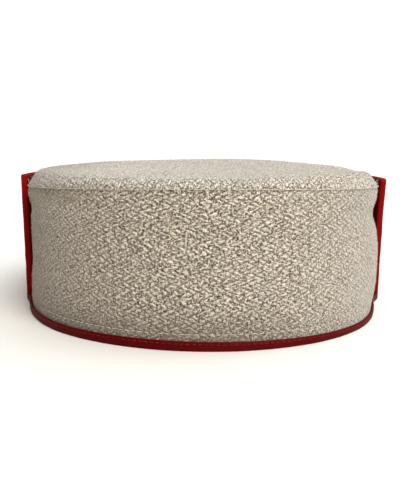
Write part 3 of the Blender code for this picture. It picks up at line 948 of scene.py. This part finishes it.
def velvet_finish():
    """Dark red cotton velvet, brushed unevenly, its pile in fine rows."""
    recipe = Recipe(
        "red_velvet", Roughness=0.85, Sheen_Weight=0.6, Sheen_Roughness=0.35, Specular_IOR_Level=0.1
    )
    recipe.shader.inputs["Sheen Tint"].default_value = (0.75, 0.06, 0.07, 1.0)
    along, up, _ = recipe.weave()
    pile = recipe.noise(recipe.at(along * 2.6, up * 5.2), 1.0, 3.0, 0.7)
    brushed = recipe.noise(recipe.at(along * 0.07, up * 0.16), 1.0, 3.0, 0.55)
    row = recipe.node("Math", {"operation": "SINE"}, {0: up * (math.tau / 0.9)}) * 0.5 + 0.5
    bright = recipe.between(pile * 0.6 + row * 0.25 + brushed * 0.4, 0.35, 0.95)
    body = recipe.blend(bright, (0.060, 0.0006, 0.0012), (0.180, 0.0030, 0.0050))
    body = recipe.blend(recipe.between(brushed, 0.5, 0.72) * 0.5, body, (0.235, 0.007, 0.010))
    return recipe.finish(
        colour=body,
        roughness=recipe.between(brushed, 0.35, 0.7) * 0.2 + 0.72,
        height=pile * 0.8 + row * 0.4,
        strength=0.6,
        distance=0.00025,
    )


def floor_finish():
    recipe = Recipe("pale_floor", Roughness=0.9, Specular_IOR_Level=0.1)
    place = recipe.node("TexCoord", None, None, "Object")
    tone = recipe.noise(place, 3.0, 2.0, 0.5)
    return recipe.finish(colour=recipe.blend(tone, (0.580, 0.545, 0.500), (0.590, 0.555, 0.510)))


# Studio


def make_floor():
    mesh = bpy.data.meshes.new("studio_floor")
    wide = 6.0
    corners = [(-wide, -wide, 0), (wide, -wide, 0), (wide, wide, 0), (-wide, wide, 0)]
    mesh.from_pydata(corners, [], [(0, 1, 2, 3)])
    mesh.materials.append(floor_finish())
    floor = bpy.data.objects.new("studio_floor", mesh)
    bpy.context.scene.collection.objects.link(floor)


def make_sun(name, toward, spread, strength, colour):
    """A broad, even light from far away on the side of toward, spread degrees wide."""
    light = bpy.data.lights.new(name, "SUN")
    light.angle = math.radians(spread)
    light.energy = strength
    light.color = colour
    lamp = bpy.data.objects.new(name, light)
    lamp.location = toward
    lamp.rotation_euler = Vector(toward).to_track_quat("Z", "Y").to_euler()
    bpy.context.scene.collection.objects.link(lamp)


def make_studio():
    """A white room: an even glow all round, and a soft key above and to the right of the camera."""
    make_floor()
    make_sun("key_light", (-0.44, 0.80, 0.74), 42.0, 4.8, (0.965, 0.975, 1.0))
    make_sun("top_light", (-0.36, -0.24, 1.0), 70.0, 3.5, (0.82, 0.92, 1.0))
    world = bpy.data.worlds.new("studio")
    world.use_nodes = True
    tree = world.node_tree
    glow = tree.nodes["Background"]
    glow.inputs["Color"].default_value = (1.0, 0.84, 0.60, 1.0)
    glow.inputs["Strength"].default_value = 0.28
    seen = tree.nodes.new("ShaderNodeBackground")
    seen.inputs["Color"].default_value = (1.0, 1.0, 1.0, 1.0)
    seen.inputs["Strength"].default_value = 1.05
    path = tree.nodes.new("ShaderNodeLightPath")
    either = tree.nodes.new("ShaderNodeMixShader")
    tree.links.new(path.outputs["Is Camera Ray"], either.inputs[0])
    tree.links.new(glow.outputs[0], either.inputs[1])
    tree.links.new(seen.outputs[0], either.inputs[2])
    tree.links.new(either.outputs[0], tree.nodes["World Output"].inputs["Surface"])
    bpy.context.scene.world = world
    bpy.context.scene.view_settings.view_transform = "Standard"


def make_camera():
    data = bpy.data.cameras.new("camera")
    data.lens = LENS
    data.sensor_width = 36.0
    data.clip_start = 0.01
    camera = bpy.data.objects.new("camera", data)
    camera.location = EYE
    camera.rotation_euler = (math.pi / 2 - EYE_DOWN, 0.0, math.pi)
    bpy.context.scene.collection.objects.link(camera)
    bpy.context.scene.camera = camera


tweed = tweed_finish()
fibre = fibre_finish()
# The rim tape and the band's tape are one red cloth: the band's copy is painted lighter and the rim's copy
# darker, standing for the light on the band's edges and the shade along the rim.
rim_ribbon = ribbon_finish(
    "rim_tape_cloth", (0.050, 0.0002, 0.0003), (0.098, 0.0004, 0.0007), (0.140, 0.0015, 0.0022)
)
band_ribbon = ribbon_finish(
    "band_tape_cloth", (0.130, 0.0002, 0.0006), (0.240, 0.0005, 0.0012), (0.320, 0.0022, 0.0040), 3.9
)
velvet = velvet_finish()
wool_thread = thread_finish("wool_thread", (0.30, 0.26, 0.20), (0.56, 0.50, 0.41))
red_thread = thread_finish("red_thread", (0.10, 0.001, 0.002), (0.30, 0.006, 0.010), 0.55)

make_wall("wall_back_left", BACK_FROM, BACK_MIDDLE, 400, 205, 1.0, ["crown_wall"])
make_wall("wall_back_right", BACK_MIDDLE, BACK_TO, 400, 205, 1.0)
make_wall("wall_front", BACK_TO, BACK_FROM + math.tau, 260, 60, 0.35)
make_top("top_back", 0.0, math.pi, ["crown_top"])
make_top("top_front", math.pi, math.tau)
make_rim_tape()
make_band_tape()
make_band()
make_hem_stitches()
make_seam_stitches()
make_tape_stitches()
make_fuzz()

make_studio()
make_camera()
